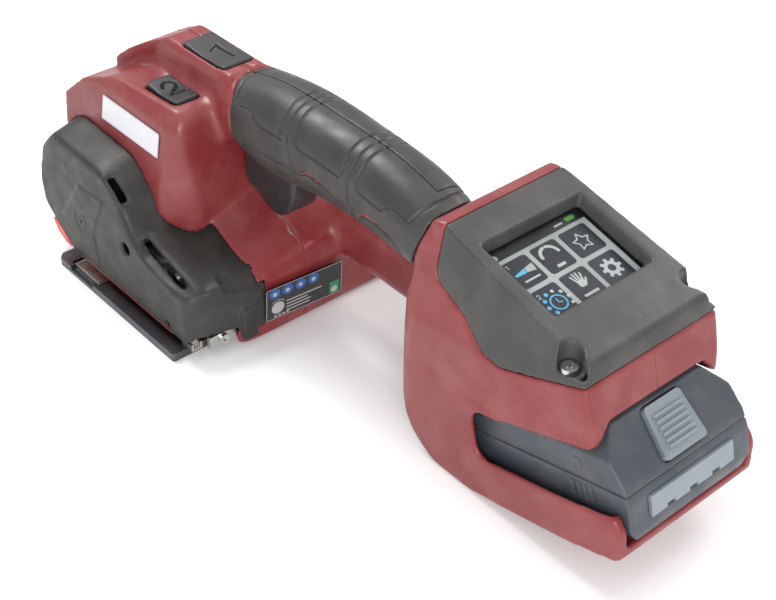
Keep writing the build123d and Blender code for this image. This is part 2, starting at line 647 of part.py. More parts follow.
def trigger_parts():
    x, z = TRIGGER_PIN
    lever = outline([(x - 5, z + 5), (x + 5, z + 6), (-42, 103), (-37, 98), (-38, 80), (-43, 67), (-51, 61),
                     (-60, 62.5), (-66, 67), (-76, 69), (-77, 80)], (4.5, 4.5, 4, 4, 8, 8, 8, 6, 6, 3, 6))
    low, high = HANDLE_Y - TRIGGER_HALF, HANDLE_Y + TRIGGER_HALF
    front = outline([(low, 50), (high, 50), (high, 115), (low, 115)], 1)
    plan = outline([(-90, low), (-35.9, low), (-35.9, high), (-90, high)], (1, 5, 5, 1))
    body = across(lever, low, high) & upward(plan, 50, 120) & along(front, -90, -30)
    save("trigger", body - rod(TRIGGER_PIN, 2.0 + FIT, -60, 60))
    save("trigger_pin", rod(TRIGGER_PIN, 2.0, HANDLE_Y - 12.5, HANDLE_Y + 12.5))
    leaf = outline([(-62, 110.4), (-49, 106.4), (-43, 117), (-44, 117.6), (-49.6, 107.6), (-62, 111.6)])
    save("trigger_spring", across(leaf, HANDLE_Y - 3, HANDLE_Y + 3))


BUTTON_ONE_X = (-120.0, -86.0)
BUTTON_ONE_Y = (-10.0, 8.0)
BUTTON_TWO_X = (-121.0, -95.0)
BUTTON_TWO_Y = (-32.0, -18.0)
BUTTON_TRAVEL = 1.5


def button_hole(x, y, clear):
    corner = Pos(sum(x) / 2, sum(y) / 2)
    width, depth = x[1] - x[0] + 2 * clear, y[1] - y[0] + 2 * clear
    return upward(corner * RectangleRounded(width, depth, 2.6), 95, 140)


def button_cap(x, y, low, crown):
    """Cap with rounded edges whose top is dished along the tool."""
    middle = sum(x) / 2
    side = outline([(x[0], low), (x[1], low), (x[1], crown), (middle, crown - 1.2), (x[0], crown)],
                   (0.4, 0.4, 1.2, 30, 1.2))
    front = outline([(y[0], low), (y[1], low), (y[1], crown), (y[0], crown)], (0.4, 0.4, 1.2, 1.2))
    return button_hole(x, y, 0) & across(side, -60, 60) & along(front, -200, 0)


def button_parts():
    one = button_cap(BUTTON_ONE_X, BUTTON_ONE_Y, 117.5, 128.4)
    two = button_cap(BUTTON_TWO_X, BUTTON_TWO_Y, 104.5, 114.6)
    save("button_one", one)
    save("button_two", two)
    pads, boards = [], []
    for x, y, low in ((BUTTON_ONE_X, BUTTON_ONE_Y, 117.5), (BUTTON_TWO_X, BUTTON_TWO_Y, 104.5)):
        cx, cy = sum(x) / 2, sum(y) / 2
        pads.append(upright(cx, cy, 3.2, low - 3.1, low - BUTTON_TRAVEL - 0.2))
        boards.append(box((x[0] + 1, x[1] - 1), (y[0] + 1, y[1] - 1), (low - 4.5, low - 3.1)))
    save("button_pads", *pads)
    save("button_boards", *boards)


# ---- Display head ------------------------------------------------------------
DISPLAY_TILT = 13.6
DISPLAY_AT = (105.0, BLOCK_Y, 113.4)       # middle of the recess rim
DISPLAY_RIM = (47.0, 61.6)                 # opening along the slope and across
DISPLAY_FLOOR = (40.5, 54.5)
DISPLAY_DEPTH = 6.2


def display_frame(depth):
    """Plane parallel to the display, depth below the rim."""
    normal = (sin(radians(DISPLAY_TILT)), 0, cos(radians(DISPLAY_TILT)))
    origin = tuple(p - depth * n for p, n in zip(DISPLAY_AT, normal))
    slope = (cos(radians(DISPLAY_TILT)), 0, -sin(radians(DISPLAY_TILT)))
    return Plane(origin=origin, x_dir=slope, z_dir=normal)


def recess(grow, top, bottom):
    length, width = DISPLAY_RIM[0] + 2 * grow, DISPLAY_RIM[1] + 2 * grow
    rim = display_frame(-top) * RectangleRounded(length, width, 2 + grow / 2)
    floor = RectangleRounded(DISPLAY_FLOOR[0] + 2 * grow, DISPLAY_FLOOR[1] + 2 * grow, 1.2 + grow / 2)
    return loft([rim, display_frame(bottom) * floor])


BEZEL_SCREWS = ((141.7, BLOCK_Y - 35.9), (141.7, BLOCK_Y + 35.9))
BEZEL_SCREW_Z = 96.0


def display_parts():
    space = bezel_space()
    skin = (block_envelope(0) - block_envelope(2.8)) & space
    well = recess(2.2, 0, DISPLAY_DEPTH) & block_envelope(0.4)
    bezel = skin + well - recess(0, 3, DISPLAY_DEPTH + 0.05)
    screws = []
    for x, y in BEZEL_SCREWS:
        outward = 1 if y > BLOCK_Y else -1
        boss = upright(x, y, 7.2, BEZEL_SCREW_Z - 5, BEZEL_SCREW_Z + 10) & block_envelope(0.4)
        pocket = upright(x, y, 5.0, BEZEL_SCREW_Z - 2.5, 130)
        mouth = Pos(x + 9, y + 5 * outward) * Rectangle(20, 9, rotation=29 * outward)
        bezel = bezel + (boss & space) - pocket - upward(mouth, BEZEL_SCREW_Z - 1, 130)
        bezel = bezel - upright(x, y, 2.0, 80, 130)
        head = upright(x, y, 3.6, BEZEL_SCREW_Z - 2.5, BEZEL_SCREW_Z)
        cross = upward(Pos(x, y) * (Rectangle(4.6, 1.1) + Rectangle(1.1, 4.6)), BEZEL_SCREW_Z - 1.4, 130)
        screws.append(upright(x, y, 1.9, BEZEL_SCREW_Z - 12, BEZEL_SCREW_Z - 2.5) + head - cross)
    save("display_bezel", bezel)
    save("bezel_screws", *screws)
    sheet = RectangleRounded(DISPLAY_FLOOR[0] + 3, DISPLAY_FLOOR[1] + 3, 1.5)
    glass = display_frame(DISPLAY_DEPTH + 1.3) * sheet
    save("display_glass", extrude(glass, amount=1.2))
    panel = display_frame(DISPLAY_DEPTH + 5.9) * Rectangle(DISPLAY_FLOOR[0] + 3, DISPLAY_FLOOR[1] + 3)
    save("display_panel", extrude(panel, amount=4.5))


def electronics():
    board = box((66, 140), (BLOCK_Y - 34, BLOCK_Y + 34), (84.0, 85.6))
    chips = [box((80, 92), (BLOCK_Y - 20, BLOCK_Y - 8), (85.6, 87.2)),
             box((100, 112), (BLOCK_Y + 4, BLOCK_Y + 22), (85.6, 88.2))]
    save("controller_board", joined([board] + chips) & block_envelope(3.4))
    terminal = box((-22, 40), (BLOCK_Y - 21, BLOCK_Y + 21), (58.2, 68))
    terminal = terminal - box((-18, 36), (BLOCK_Y - 17, BLOCK_Y + 17), (60.2, 69))
    save("battery_terminal_block", in_bay(terminal))
    blades = [in_bay(box((0, 18), (BLOCK_Y + k - 0.5, BLOCK_Y + k + 0.5), (51.5, 58.2)))
              for k in (-12, -4, 4, 12)]
    save("terminal_blades", *blades)


# ---- Battery -----------------------------------------------------------------
def battery_section(inset, low, high):
    half = BATTERY_HALF - inset
    face = outline([(-half + 5, BATTERY_N[0] + inset), (half - 5, BATTERY_N[0] + inset),
                    (half, BATTERY_N[0] + 7), (half, 44), (27.5 - inset / 2, 55 - inset),
                    (-27.5 + inset / 2, 55 - inset), (-half, 44), (-half, BATTERY_N[0] + 7)], 1.5)
    return Pos(BLOCK_Y, 0) * (face & Pos(0, (low + high) / 2) * Rectangle(2 * BATTERY_HALF, high - low))


def battery_side(inset):
    """Side view of the pack in bay axes: rails in front, sloped end behind."""
    corners = [(BATTERY_U[0], BATTERY_N[0]), (89, BATTERY_N[0]), (BATTERY_U[1], 12), (BATTERY_U[1], 26),
               (89, 34), (76, 54), (71, 56), (46, 56), (42, 50), (BATTERY_U[0], 50)]
    return offset(outline(corners, (3, 3, 2, 3, 4, 4, 3, 3, 3, 3)), -inset)


def battery_shell(inset, low, high):
    body = along(battery_section(inset, low, high), BATTERY_U[0] - 5, BATTERY_U[1] + 5)
    return body & across(battery_side(inset), -60, 110)


LATCH_AT = (83.6, 44.0)         # middle of the release button's face, in bay axes
LATCH_FACE = Plane(origin=(LATCH_AT[0], BLOCK_Y, LATCH_AT[1]), x_dir=(13, 0, -20), z_dir=(20, 0, 13))


def latch_block(grow, low, high):
    """Rounded trapezium that lies in the sloped end of the pack."""
    half, reach = 10.8 + grow, 11.5 + grow
    face = outline([(-reach, -half), (reach, -half - 2), (reach, half + 2), (-reach, half)], 2)
    return extrude(LATCH_FACE.offset(low) * face, amount=high - low)


def battery_parts():
    split = 30.0
    lower = battery_shell(0, 0, split) - battery_shell(2, 0, split + 1)
    upper = battery_shell(0, split, 60) - battery_shell(2, split - 1, 60)
    for k in (-12, -4, 4, 12):
        upper = upper - box((BATTERY_U[0] - 1, 20), (BLOCK_Y + k - 1.2, BLOCK_Y + k + 1.2), (46, 60))
    upper = upper - latch_block(0.4, -6, 8)
    rear = BATTERY_U[1]
    lower = lower - box((rear - 1.2, rear + 2), (BLOCK_Y - 26, BLOCK_Y + 26), (15.5, 26))
    for k in range(4):
        slit = Pos(61 + 3.4 * k, 24.5) * Rot(0, 0, 12) * Rectangle(1.4, 8)
        lower = lower - across(slit, BLOCK_Y - 40, BLOCK_Y - 36.6)
    screw_hole = across(Pos(64, 37) * Circle(3.2), BLOCK_Y - 40, BLOCK_Y - 36.8)
    save("battery_lower_case", in_bay(lower))
    save("battery_upper_case", in_bay(upper - screw_hole))
    cells = [in_bay(rod((-11 + 18.6 * k, 18.8), 9.0, BLOCK_Y - 31, BLOCK_Y + 31)) for k in range(5)]
    save("battery_cells", *cells)
    save("battery_board", in_bay(box((-20, 50), (BLOCK_Y - 26, BLOCK_Y + 26), (36, 37.6))))
    ribs = latch_block(0, -3.2, 0.6)
    for k in range(6):
        ribs = ribs + LATCH_FACE * Pos(-6.5 + 2.7 * k, 0, 0.9) * Box(1.3, 17, 0.9)
    save("battery_release_button", in_bay(ribs))
    strip = box((rear - 1.2, rear + 1.0), (BLOCK_Y - 25.6, BLOCK_Y + 25.6), (15.9, 25.6))
    for k in range(3):
        y = BLOCK_Y - 14 + 14 * k
        strip = strip - box((rear - 2, rear + 2), (y - 2.5, y + 2.5), (15, 17.6))
    save("battery_end_strip", in_bay(strip))


# ---- Labels and fasteners ----------------------------------------------------
def label_parts():
    near = Plane(origin=(-120.0, -43.15, 93.6), x_dir=(1, 0, 0), z_dir=(0, -0.985, 0.172))
    save("name_label", extrude(near * RectangleRounded(48.5, 12.5, 0.6), amount=0.35))
    rear = Plane(origin=(-39.05, -2, 20.5), x_dir=(-0.083, -1, 0), z_dir=(0.994, -0.0825, -0.0663))
    save("type_label", extrude(rear * RectangleRounded(45, 20, 1), amount=0.35))


def housing_screws():
    """Long screws that clamp the housing halves together, driven from the far side."""
    screws = []
    for x, z, y_near, y_far in HOUSING_SCREWS:
        seat = y_far + HEAD_DEPTH
        head = rod((x, z), 3.0, seat, seat + 2.4)
        socket = across(Pos(x, z) * RegularPolygon(1.5, 6), seat + 1, seat + 3)
        screws.append(rod((x, z), 1.5, y_near, seat) + head - socket)
    save("housing_screws", *screws)


if __name__ == "__main__":
    shell = housing()
    save("housing_near", shell & seam_space(-1))
    save("housing_far", shell & seam_space(1))
    housing_screws()
    strap_trim()
    gear_train()
    tension_parts()
    carrier_parts()
    base_parts()
    rocker_parts()
    motor_parts()
    belt_parts()
    weld_parts()
    grip_parts()
    trigger_parts()
    button_parts()
    display_parts()
    electronics()
    battery_parts()
    label_parts()
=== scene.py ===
"""Looks of the cordless strapping tool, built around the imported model."""

import json
from math import cos, pi, radians, sin

import bmesh
import bpy
import numpy as np
from mathutils import Matrix, Vector


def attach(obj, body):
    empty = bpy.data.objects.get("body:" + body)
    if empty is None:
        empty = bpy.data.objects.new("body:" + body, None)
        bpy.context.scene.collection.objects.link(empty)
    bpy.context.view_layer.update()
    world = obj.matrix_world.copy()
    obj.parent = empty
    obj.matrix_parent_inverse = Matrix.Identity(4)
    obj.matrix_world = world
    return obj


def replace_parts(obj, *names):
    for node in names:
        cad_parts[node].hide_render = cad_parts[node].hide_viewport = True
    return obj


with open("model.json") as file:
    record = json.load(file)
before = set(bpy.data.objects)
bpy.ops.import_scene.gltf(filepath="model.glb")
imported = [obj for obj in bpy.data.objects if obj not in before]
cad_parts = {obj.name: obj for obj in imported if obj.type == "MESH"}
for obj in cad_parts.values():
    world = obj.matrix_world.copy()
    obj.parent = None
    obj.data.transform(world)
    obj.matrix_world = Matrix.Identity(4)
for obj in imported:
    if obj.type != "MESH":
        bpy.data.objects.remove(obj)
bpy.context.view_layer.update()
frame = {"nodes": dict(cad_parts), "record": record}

MM = 0.001
HANDLE_Y = 1.0              # middle plane of the handle, mm
BLOCK_Y = 24.0              # middle plane of the rear block, mm
SEAM_STEP_X = 50.0          # where the seam changes plane, mm
SEAM_GAP = 0.45             # width of the visible seam line, mm
COVER_FACE_Y = -64.0        # outer face of the side cover, mm
TRIGGER_PIN = (-70.0, 104.0)    # axis of the trigger's pin, X and Z, mm
GRIP_CENTRE_Z = 108.0       # height that the rubber's outer faces look away from, mm


# ---- Materials ----------------------------------------------------------------
def node_material(name):
    material = bpy.data.materials.new(name)
    material.use_nodes = True
    tree = material.node_tree
    return material, tree, tree.nodes["Principled BSDF"]


def link(tree, source, target):
    tree.links.new(source, target)


def noise(tree, scale, detail=3.0, stretch=None):
    """Noise in object coordinates; stretch scales each axis first."""
    place = tree.nodes.new("ShaderNodeTexCoord")
    texture = tree.nodes.new("ShaderNodeTexNoise")
    texture.inputs["Scale"].default_value = scale
    texture.inputs["Detail"].default_value = detail
    source = place.outputs["Object"]
    if stretch:
        mapping = tree.nodes.new("ShaderNodeMapping")
        mapping.inputs["Scale"].default_value = stretch
        link(tree, source, mapping.inputs["Vector"])
        source = mapping.outputs["Vector"]
    link(tree, source, texture.inputs["Vector"])
    return texture.outputs["Fac"]


def spread(tree, value, low, high, out_low, out_high):
    """Map a value from low..high to out_low..out_high, clamped."""
    node = tree.nodes.new("ShaderNodeMapRange")
    for name, number in (("From Min", low), ("From Max", high), ("To Min", out_low), ("To Max", out_high)):
        node.inputs[name].default_value = number
    link(tree, value, node.inputs["Value"])
    return node.outputs["Result"]


def blend_colours(tree, factor, first, second):
    """Mix two colours; each is a tuple or a socket."""
    node = tree.nodes.new("ShaderNodeMix")
    node.data_type = "RGBA"
    link(tree, factor, node.inputs["Factor"])
    for colour, socket in ((first, node.inputs["A"]), (second, node.inputs["B"])):
        if isinstance(colour, tuple):
            socket.default_value = (*colour, 1)
        else:
            link(tree, colour, socket)
    return node.outputs["Result"]


def bump(tree, height, strength, distance, below=None):
    node = tree.nodes.new("ShaderNodeBump")
    node.inputs["Strength"].default_value = strength
    node.inputs["Distance"].default_value = distance
    link(tree, height, node.inputs["Height"])
    if below is not None:
        link(tree, below, node.inputs["Normal"])
    return node.outputs["Normal"]


def worn_plastic(name, colour, roughness, grain=(1500, 0.00006), dust=((0.5, 0.42, 0.36), 0.10), edge=0.25,
                 mottle=0.18, gloss=0.5):
    """Moulded plastic or rubber: fine grain, soft mottling, dust in patches and rubbed edges."""
    material, tree, shader = node_material(name)
    patches = spread(tree, noise(tree, 22, 4), 0.35, 0.75, 0, mottle)
    darker = tuple(c * 0.55 for c in colour)
    base = blend_colours(tree, patches, colour, darker)
    dusty = spread(tree, noise(tree, 60, 6), 0.42, 0.72, 0, dust[1])
    base = blend_colours(tree, dusty, base, dust[0])
    speck = spread(tree, noise(tree, 950, 2), 0.60, 0.75, 0, dust[1] * 0.8)
    base = blend_colours(tree, speck, base, dust[0])
    geometry = tree.nodes.new("ShaderNodeNewGeometry")
    rubbed = spread(tree, geometry.outputs["Pointiness"], 0.52, 0.60, 0, edge)
    lighter = tuple(min(1.0, c * 1.9 + 0.05) for c in colour)
    base = blend_colours(tree, rubbed, base, lighter)
    link(tree, base, shader.inputs["Base Color"])
    rough = spread(tree, noise(tree, 130, 4), 0.3, 0.7, roughness - 0.07, roughness + 0.09)
    link(tree, rough, shader.inputs["Roughness"])
    coarse = bump(tree, noise(tree, grain[0] * 0.4, 2), 0.35, grain[1])
    fine = bump(tree, noise(tree, grain[0], 3), 0.6, grain[1], coarse)
    link(tree, fine, shader.inputs["Normal"])
    shader.inputs["Specular IOR Level"].default_value = gloss
    return material


def metal(name, colour, roughness, brushed=(1, 1, 1), tint=(0.25, 0.2, 0.15), stain=0.2, bump_depth=0.00002):
    """Metal with brushing along one axis and light staining."""
    material, tree, shader = node_material(name)
    shader.inputs["Metallic"].default_value = 1.0
    stains = spread(tree, noise(tree, 45, 5), 0.4, 0.75, 0, stain)
    link(tree, blend_colours(tree, stains, colour, tint), shader.inputs["Base Color"])
    lines = noise(tree, 900, 3, brushed)
    link(tree, spread(tree, lines, 0.3, 0.7, roughness - 0.08, roughness + 0.12), shader.inputs["Roughness"])
    link(tree, bump(tree, lines, 0.4, bump_depth), shader.inputs["Normal"])
    return material


def printed(name, colour, roughness=0.35, variation=0.12):
    """Thin printed ink or film: a colour with faint unevenness."""
    material, tree, shader = node_material(name)
    uneven = spread(tree, noise(tree, 240, 3), 0.3, 0.7, 0, variation)
    darker = tuple(c * 0.7 for c in colour)
    link(tree, blend_colours(tree, uneven, colour, darker), shader.inputs["Base Color"])
    rough = spread(tree, noise(tree, 90, 3), 0.3, 0.7, roughness, roughness + 0.1)
    link(tree, rough, shader.inputs["Roughness"])
    return material


def glowing(name, colour, strength):
    """Lit part of the display."""
    material, tree, shader = node_material(name)
    uneven = spread(tree, noise(tree, 700, 2), 0.3, 0.7, 0, 0.15)
    shade = blend_colours(tree, uneven, colour, tuple(c * 0.8 for c in colour))
    link(tree, shade, shader.inputs["Base Color"])
    link(tree, shade, shader.inputs["Emission Color"])
    shader.inputs["Emission Strength"].default_value = strength
    shader.inputs["Roughness"].default_value = 0.4
    return material


def touch_glass():
    material, tree, shader = node_material("screen_glass")
    smears = spread(tree, noise(tree, 70, 5), 0.4, 0.7, 0.06, 0.22)
    link(tree, smears, shader.inputs["Roughness"])
    link(tree, spread(tree, noise(tree, 40, 4), 0.4, 0.8, 0.10, 0.16), shader.inputs["Alpha"])
    link(tree, blend_colours(tree, smears, (0.02, 0.02, 0.025), (0.2, 0.2, 0.2)), shader.inputs["Base Color"])
    return material


def make_materials():
    """One material for each slot of the record, and a few inks for prints and the display."""
    dust = (0.40, 0.35, 0.29)
    pink = (0.46, 0.22, 0.20)
    fine, coarse = (1800, 0.00003), (1300, 0.00010)
    return {
        "housing_red": worn_plastic("housing_red", (0.190, 0.020, 0.022), 0.36, (900, 0.00003),
                                    (pink, 0.13), 0.18, 0.15),
        "grip_rubber": worn_plastic("grip_rubber", (0.031, 0.030, 0.029), 0.42, fine,
                                    (dust, 0.05), 0.14, 0.2, 0.4),
        "cover_dark": worn_plastic("cover_dark", (0.026, 0.025, 0.024), 0.46, coarse,
                                   (dust, 0.05), 0.16, 0.2, 0.3),
        "bezel_dark": worn_plastic("bezel_dark", (0.046, 0.046, 0.046), 0.46, coarse,
                                   (dust, 0.06), 0.16, 0.2, 0.35),
        "trim_black": worn_plastic("trim_black", (0.016, 0.016, 0.017), 0.40, (1500, 0.00004),
                                   (dust, 0.03), 0.2),
        # trim_shadow is painted shade, laid on the floors of the engraved numerals.
        "trim_shadow": worn_plastic("trim_shadow", (0.005, 0.005, 0.006), 0.7, coarse,
                                    (dust, 0.02), 0, 0.2, 0.15),
        "trim_red": worn_plastic("trim_red", (0.55, 0.035, 0.022), 0.35, (900, 0.00003), (pink, 0.10)),
        "battery_blue": worn_plastic("battery_blue", (0.044, 0.054, 0.066), 0.42, coarse, (dust, 0.07), 0.16),
        "battery_light": worn_plastic("battery_light", (0.150, 0.180, 0.210), 0.42, (1200, 0.00006),
                                      (dust, 0.14)),
        "cell_wrap": worn_plastic("cell_wrap", (0.03, 0.20, 0.30), 0.3),
        "board": worn_plastic("board", (0.02, 0.13, 0.06), 0.35, (500, 0.00005)),
        "silicone": worn_plastic("silicone", (0.5, 0.51, 0.5), 0.5),
        "belt_rubber": worn_plastic("belt_rubber", (0.02, 0.02, 0.02), 0.6, (800, 0.0001)),
        "tool_steel": metal("tool_steel", (0.56, 0.55, 0.53), 0.30, (1, 14, 1)),
        "gear_steel": metal("gear_steel", (0.42, 0.42, 0.42), 0.33, (1, 10, 1), (0.2, 0.15, 0.08), 0.35),
        "zinc_steel": metal("zinc_steel", (0.60, 0.62, 0.62), 0.28, (6, 6, 1), (0.3, 0.27, 0.2), 0.35),
        "cast_alloy": metal("cast_alloy", (0.62, 0.62, 0.63), 0.42, (3, 1, 3)),
        "copper": metal("copper", (0.72, 0.33, 0.16), 0.28),
        "contact_metal": metal("contact_metal", (0.75, 0.6, 0.33), 0.28),
        "lamination": metal("lamination", (0.25, 0.25, 0.26), 0.4, (1, 40, 1)),
        "blued_steel": metal("blued_steel", (0.10, 0.105, 0.125), 0.34, (8, 1, 1), (0.26, 0.22, 0.18), 0.30,
                             0.00003),
        "label_white": printed("label_white", (0.66, 0.66, 0.70), 0.3, 0.12),
        "label_black": printed("label_black", (0.018, 0.018, 0.019), 0.32),
        "screen_panel": printed("screen_panel", (0.004, 0.005, 0.009), 0.3),
        "screen_glass": touch_glass(),
        "ink_grey": printed("ink_grey", (0.36, 0.36, 0.37), 0.4),
        "ink_blue": printed("ink_blue", (0.015, 0.085, 0.30), 0.4),
        "ink_green": printed("ink_green", (0.02, 0.20, 0.085), 0.4),
        "lit_grey": glowing("lit_grey", (0.34, 0.38, 0.37), 0.25),
        "lit_blue": glowing("lit_blue", (0.06, 0.32, 0.50), 0.35),
        "lit_green": glowing("lit_green", (0.07, 0.36, 0.03), 0.30),
        "lit_dark": glowing("lit_dark", (0.008, 0.011, 0.020), 0.10),
    }


def dress_nodes(materials):
    """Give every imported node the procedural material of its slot."""
    for part in frame["record"]["subparts"]:
        node = frame["nodes"][part["node"]]
        for index in range(max(1, len(node.material_slots))):
            if not node.material_slots:
                node.data.materials.append(None)
            node.material_slots[index].material = materials[part["material_slot"]]


# ---- Mesh helpers ---------------------------------------------------------------
def add_piece(name, mesh, material, body="root", smooth=True):
    piece = bpy.data.objects.new(name, mesh)
    bpy.context.scene.collection.objects.link(piece)
    mesh.materials.clear()
    mesh.materials.append(MATERIALS[material])
    if smooth:
        mesh.polygons.foreach_set("use_smooth", [True] * len(mesh.polygons))
    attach(piece, body)
    return piece


def mesh_of(name, points, faces):
    """Mesh from points in millimetres."""
    mesh = bpy.data.meshes.new(name)
    mesh.from_pydata([tuple(c * MM for c in p) for p in points], [], faces)
    mesh.validate()
    mesh.update()
    return mesh


def coordinates(mesh):
    flat = np.empty(3 * len(mesh.vertices))
    mesh.vertices.foreach_get("co", flat)
    return flat.reshape(-1, 3)


def vertex_normals(mesh):
    flat = np.empty(3 * len(mesh.vertices))
    mesh.vertex_normals.foreach_get("vector", flat)
    return flat.reshape(-1, 3)


def set_coordinates(mesh, points):
    mesh.vertices.foreach_set("co", points.ravel())
    mesh.update()


def with_modifier(name, mesh, kind, **settings):
    """New mesh: the given one with a single modifier applied."""
    holder = bpy.data.objects.new(name + "_work", mesh)
    bpy.context.scene.collection.objects.link(holder)
    modifier = holder.modifiers.new("work", kind)
    for key, value in settings.items():
        setattr(modifier, key, value)
    bpy.context.view_layer.update()
    result = bpy.data.meshes.new_from_object(holder.evaluated_get(bpy.context.evaluated_depsgraph_get()))
    bpy.data.objects.remove(holder)
    result.name = name
    return result


def joined_nodes(name, nodes, extra=()):
    work = bmesh.new()
    for mesh in [frame["nodes"][node].data for node in nodes] + list(extra):
        work.from_mesh(mesh)
    bmesh.ops.remove_doubles(work, verts=work.verts, dist=1e-7)
    mesh = bpy.data.meshes.new(name)
    work.to_mesh(mesh)
    work.free()
    return mesh


def remeshed(name, nodes, voxel, extra=()):
    """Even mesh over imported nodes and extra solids; voxel in millimetres."""
    joined = joined_nodes(name, nodes, extra)
    return with_modifier(name, joined, "REMESH", mode="VOXEL", voxel_size=voxel * MM)


def face_outward(mesh):
    """Turn every face of a closed solid outwards."""
    work = bmesh.new()
    work.from_mesh(mesh)
    bmesh.ops.recalc_face_normals(work, faces=work.faces)
    work.to_mesh(mesh)
    work.free()


def upright_prism(name, outline, bottom, top):
    """Solid over a plan outline, in millimetres."""
    count = len(outline)
    points = [(x, y, z) for z in (bottom, top) for x, y in outline]
    faces = [tuple(range(count)), tuple(range(2 * count - 1, count - 1, -1))]
    faces += [(k, (k + 1) % count, (k + 1) % count + count, k + count) for k in range(count)]
    mesh = mesh_of(name, points, faces)
    face_outward(mesh)
    return mesh


def side_prism(name, outline, low, high):
    """Solid over an outline in the XZ plane, from one Y to another, in millimetres."""
    mesh = upright_prism(name, outline, low, high)
    points = coordinates(mesh)
    set_coordinates(mesh, points[:, [0, 2, 1]])
    face_outward(mesh)
    return mesh


def shared_with(name, mesh, cutter):
    """The part of a mesh that lies inside another."""
    tool = bpy.data.objects.new(name + "_cutter", cutter)
    bpy.context.scene.collection.objects.link(tool)
    result = with_modifier(name, mesh, "BOOLEAN", object=tool, operation="INTERSECT", solver="EXACT")
    bpy.data.objects.remove(tool)
    return result


def relax(mesh, passes, weight=None, pull=0.5):
    """Laplacian smoothing; weight is one number for each vertex."""
    points = coordinates(mesh)
    pairs = np.empty(2 * len(mesh.edges), dtype=np.int64)
    mesh.edges.foreach_get("vertices", pairs)
    pairs = pairs.reshape(-1, 2)
    if weight is not None:
        moving = weight > 0.01
        near = moving[pairs[:, 0]] | moving[pairs[:, 1]]
        pairs = pairs[near]
        factor = (weight * pull)[:, None]
    else:
        factor = pull
    first, second = pairs[:, 0], pairs[:, 1]
    count = len(points)
    degree = np.bincount(first, minlength=count) + np.bincount(second, minlength=count)
    degree = np.maximum(degree, 1)[:, None]
    for _ in range(passes):
        total = np.empty_like(points)
        for axis in range(3):
            column = points[:, axis]
            total[:, axis] = np.bincount(first, column[second], count)
            total[:, axis] += np.bincount(second, column[first], count)
        target = total / degree
        if weight is not None:
            target = np.where(moving[:, None], target, points)
        points = points + factor * (target - points)
    set_coordinates(mesh, points)


def near_line(points, start, end, radius, solid=0.5):
    """1 within solid * radius of the line, falling smoothly to 0 at radius; millimetres."""
    start, end = np.array(start, float), np.array(end, float)
    along = end - start
    share = np.clip(((points - start) @ along) / (along @ along), 0, 1)
    distance = np.linalg.norm(points - start - share[:, None] * along, axis=1)
    step = np.clip((radius - distance) / (radius * (1 - solid)), 0, 1)
    return step * step * (3 - 2 * step)


def outside_box(points, low, high, margin):
    """0 in the box, rising to 1 at margin outside it; millimetres."""
    gap = np.maximum(np.maximum(np.array(low) - points, points - np.array(high)), 0)
    step = np.clip(np.linalg.norm(gap, axis=1) / margin, 0, 1)
    return step * step * (3 - 2 * step)


def lighter(mesh, ratio):
    return with_modifier(mesh.name, mesh, "DECIMATE", ratio=ratio)


# ---- Housing ----------------------------------------------------------------------
HEAD_BLENDS = (
    ((-140, -21, 109), (-84, -15, 113), 9),
    ((-150, 15, 108), (-84, 15, 113), 9),
    ((-84, -44, 108), (-80, -40, 60), 12),
    ((-92, -18, 111), (-80, -22, 112), 8),
    ((-79, -22, 110), (-78, -16, 93), 7),
)
BODY_BLENDS = (
    ((-60, -22, 52), (-40, -6, 46), 13),
    ((-56, 8, 52), (-40, 60, 46), 13),
    ((-76, 10, 58), (-60, 50, 62), 12),
    ((-40, -30, 34), (-36, 30, 36), 12),
    ((50, 24, 46), (56, 50, 46), 10),
    ((-36, 20, 50), (-30, 55, 50), 12),
)
KEPT_EDGES = (
    ((-120.5, -10.5, 115), (-85.5, 8.5, 135)),
    ((-121.5, -32.5, 100), (-94.5, -17.5, 118)),
    ((-78, -8.5, 60), (-31, 10.5, 122)),
    ((-200, -80, -5), (-44, -43, 82)),
    ((-110, -80, -5), (-40, -22, 56)),
)


# Front edge of the rubber: distance from the handle's middle plane, then place along the tool.
GRIP_FRONT = ((0, -79.0), (6, -77.4), (12, -74.6), (15, -72.4), (17, -71.2), (30, -70.6))


def collar_filler():
    """Red collar between the head and the curved front edge of the rubber."""
    aside, along = np.array(GRIP_FRONT).T
    edge = [(x - SEAM_GAP, HANDLE_Y - d) for d, x in zip(aside[::-1], along[::-1])]
    edge += [(x - SEAM_GAP, HANDLE_Y + d) for d, x in zip(aside[1:], along[1:])]
    plan = edge + [(-95, HANDLE_Y + aside[-1]), (-95, HANDLE_Y - aside[-1])]
    sleeve = remeshed("collar_sleeve", ("grip_near", "grip_far"), 0.7)
    return shared_with("collar_filler", sleeve, upright_prism("collar_plan", plan, 60, 160))


def nose_filler():
    """Fuller front end of the raised spine."""
    side = [(-160, 90), (-160, 108), (-151, 115.5), (-143, 120.5), (-133, 125), (-124, 126.8), (-124, 90)]
    plan = [(-159, -25), (-147, -21.5), (-133, -11), (-122, -9), (-122, 9), (-160, 11)]
    body = side_prism("nose_side", side, -40, 30)
    return shared_with("nose_filler", body, upright_prism("nose_plan", plan, 80, 140))


def housing_shell():
    """Both halves as one softened shell, still unsplit."""
    mesh = remeshed("housing_shell", ("housing_near", "housing_far"), 0.8,
                    [collar_filler(), nose_filler()])
    relax(mesh, 9)
    for blends, passes in ((HEAD_BLENDS, 70), (BODY_BLENDS, 140)):
        points = coordinates(mesh) / MM
        weight = np.zeros(len(points))
        for start, end, radius in blends:
            weight = np.maximum(weight, near_line(points, start, end, radius))
        for low, high in KEPT_EDGES:
            weight *= outside_box(points, low, high, 3.0)
        relax(mesh, passes, weight)
    return lighter(mesh, 0.35)


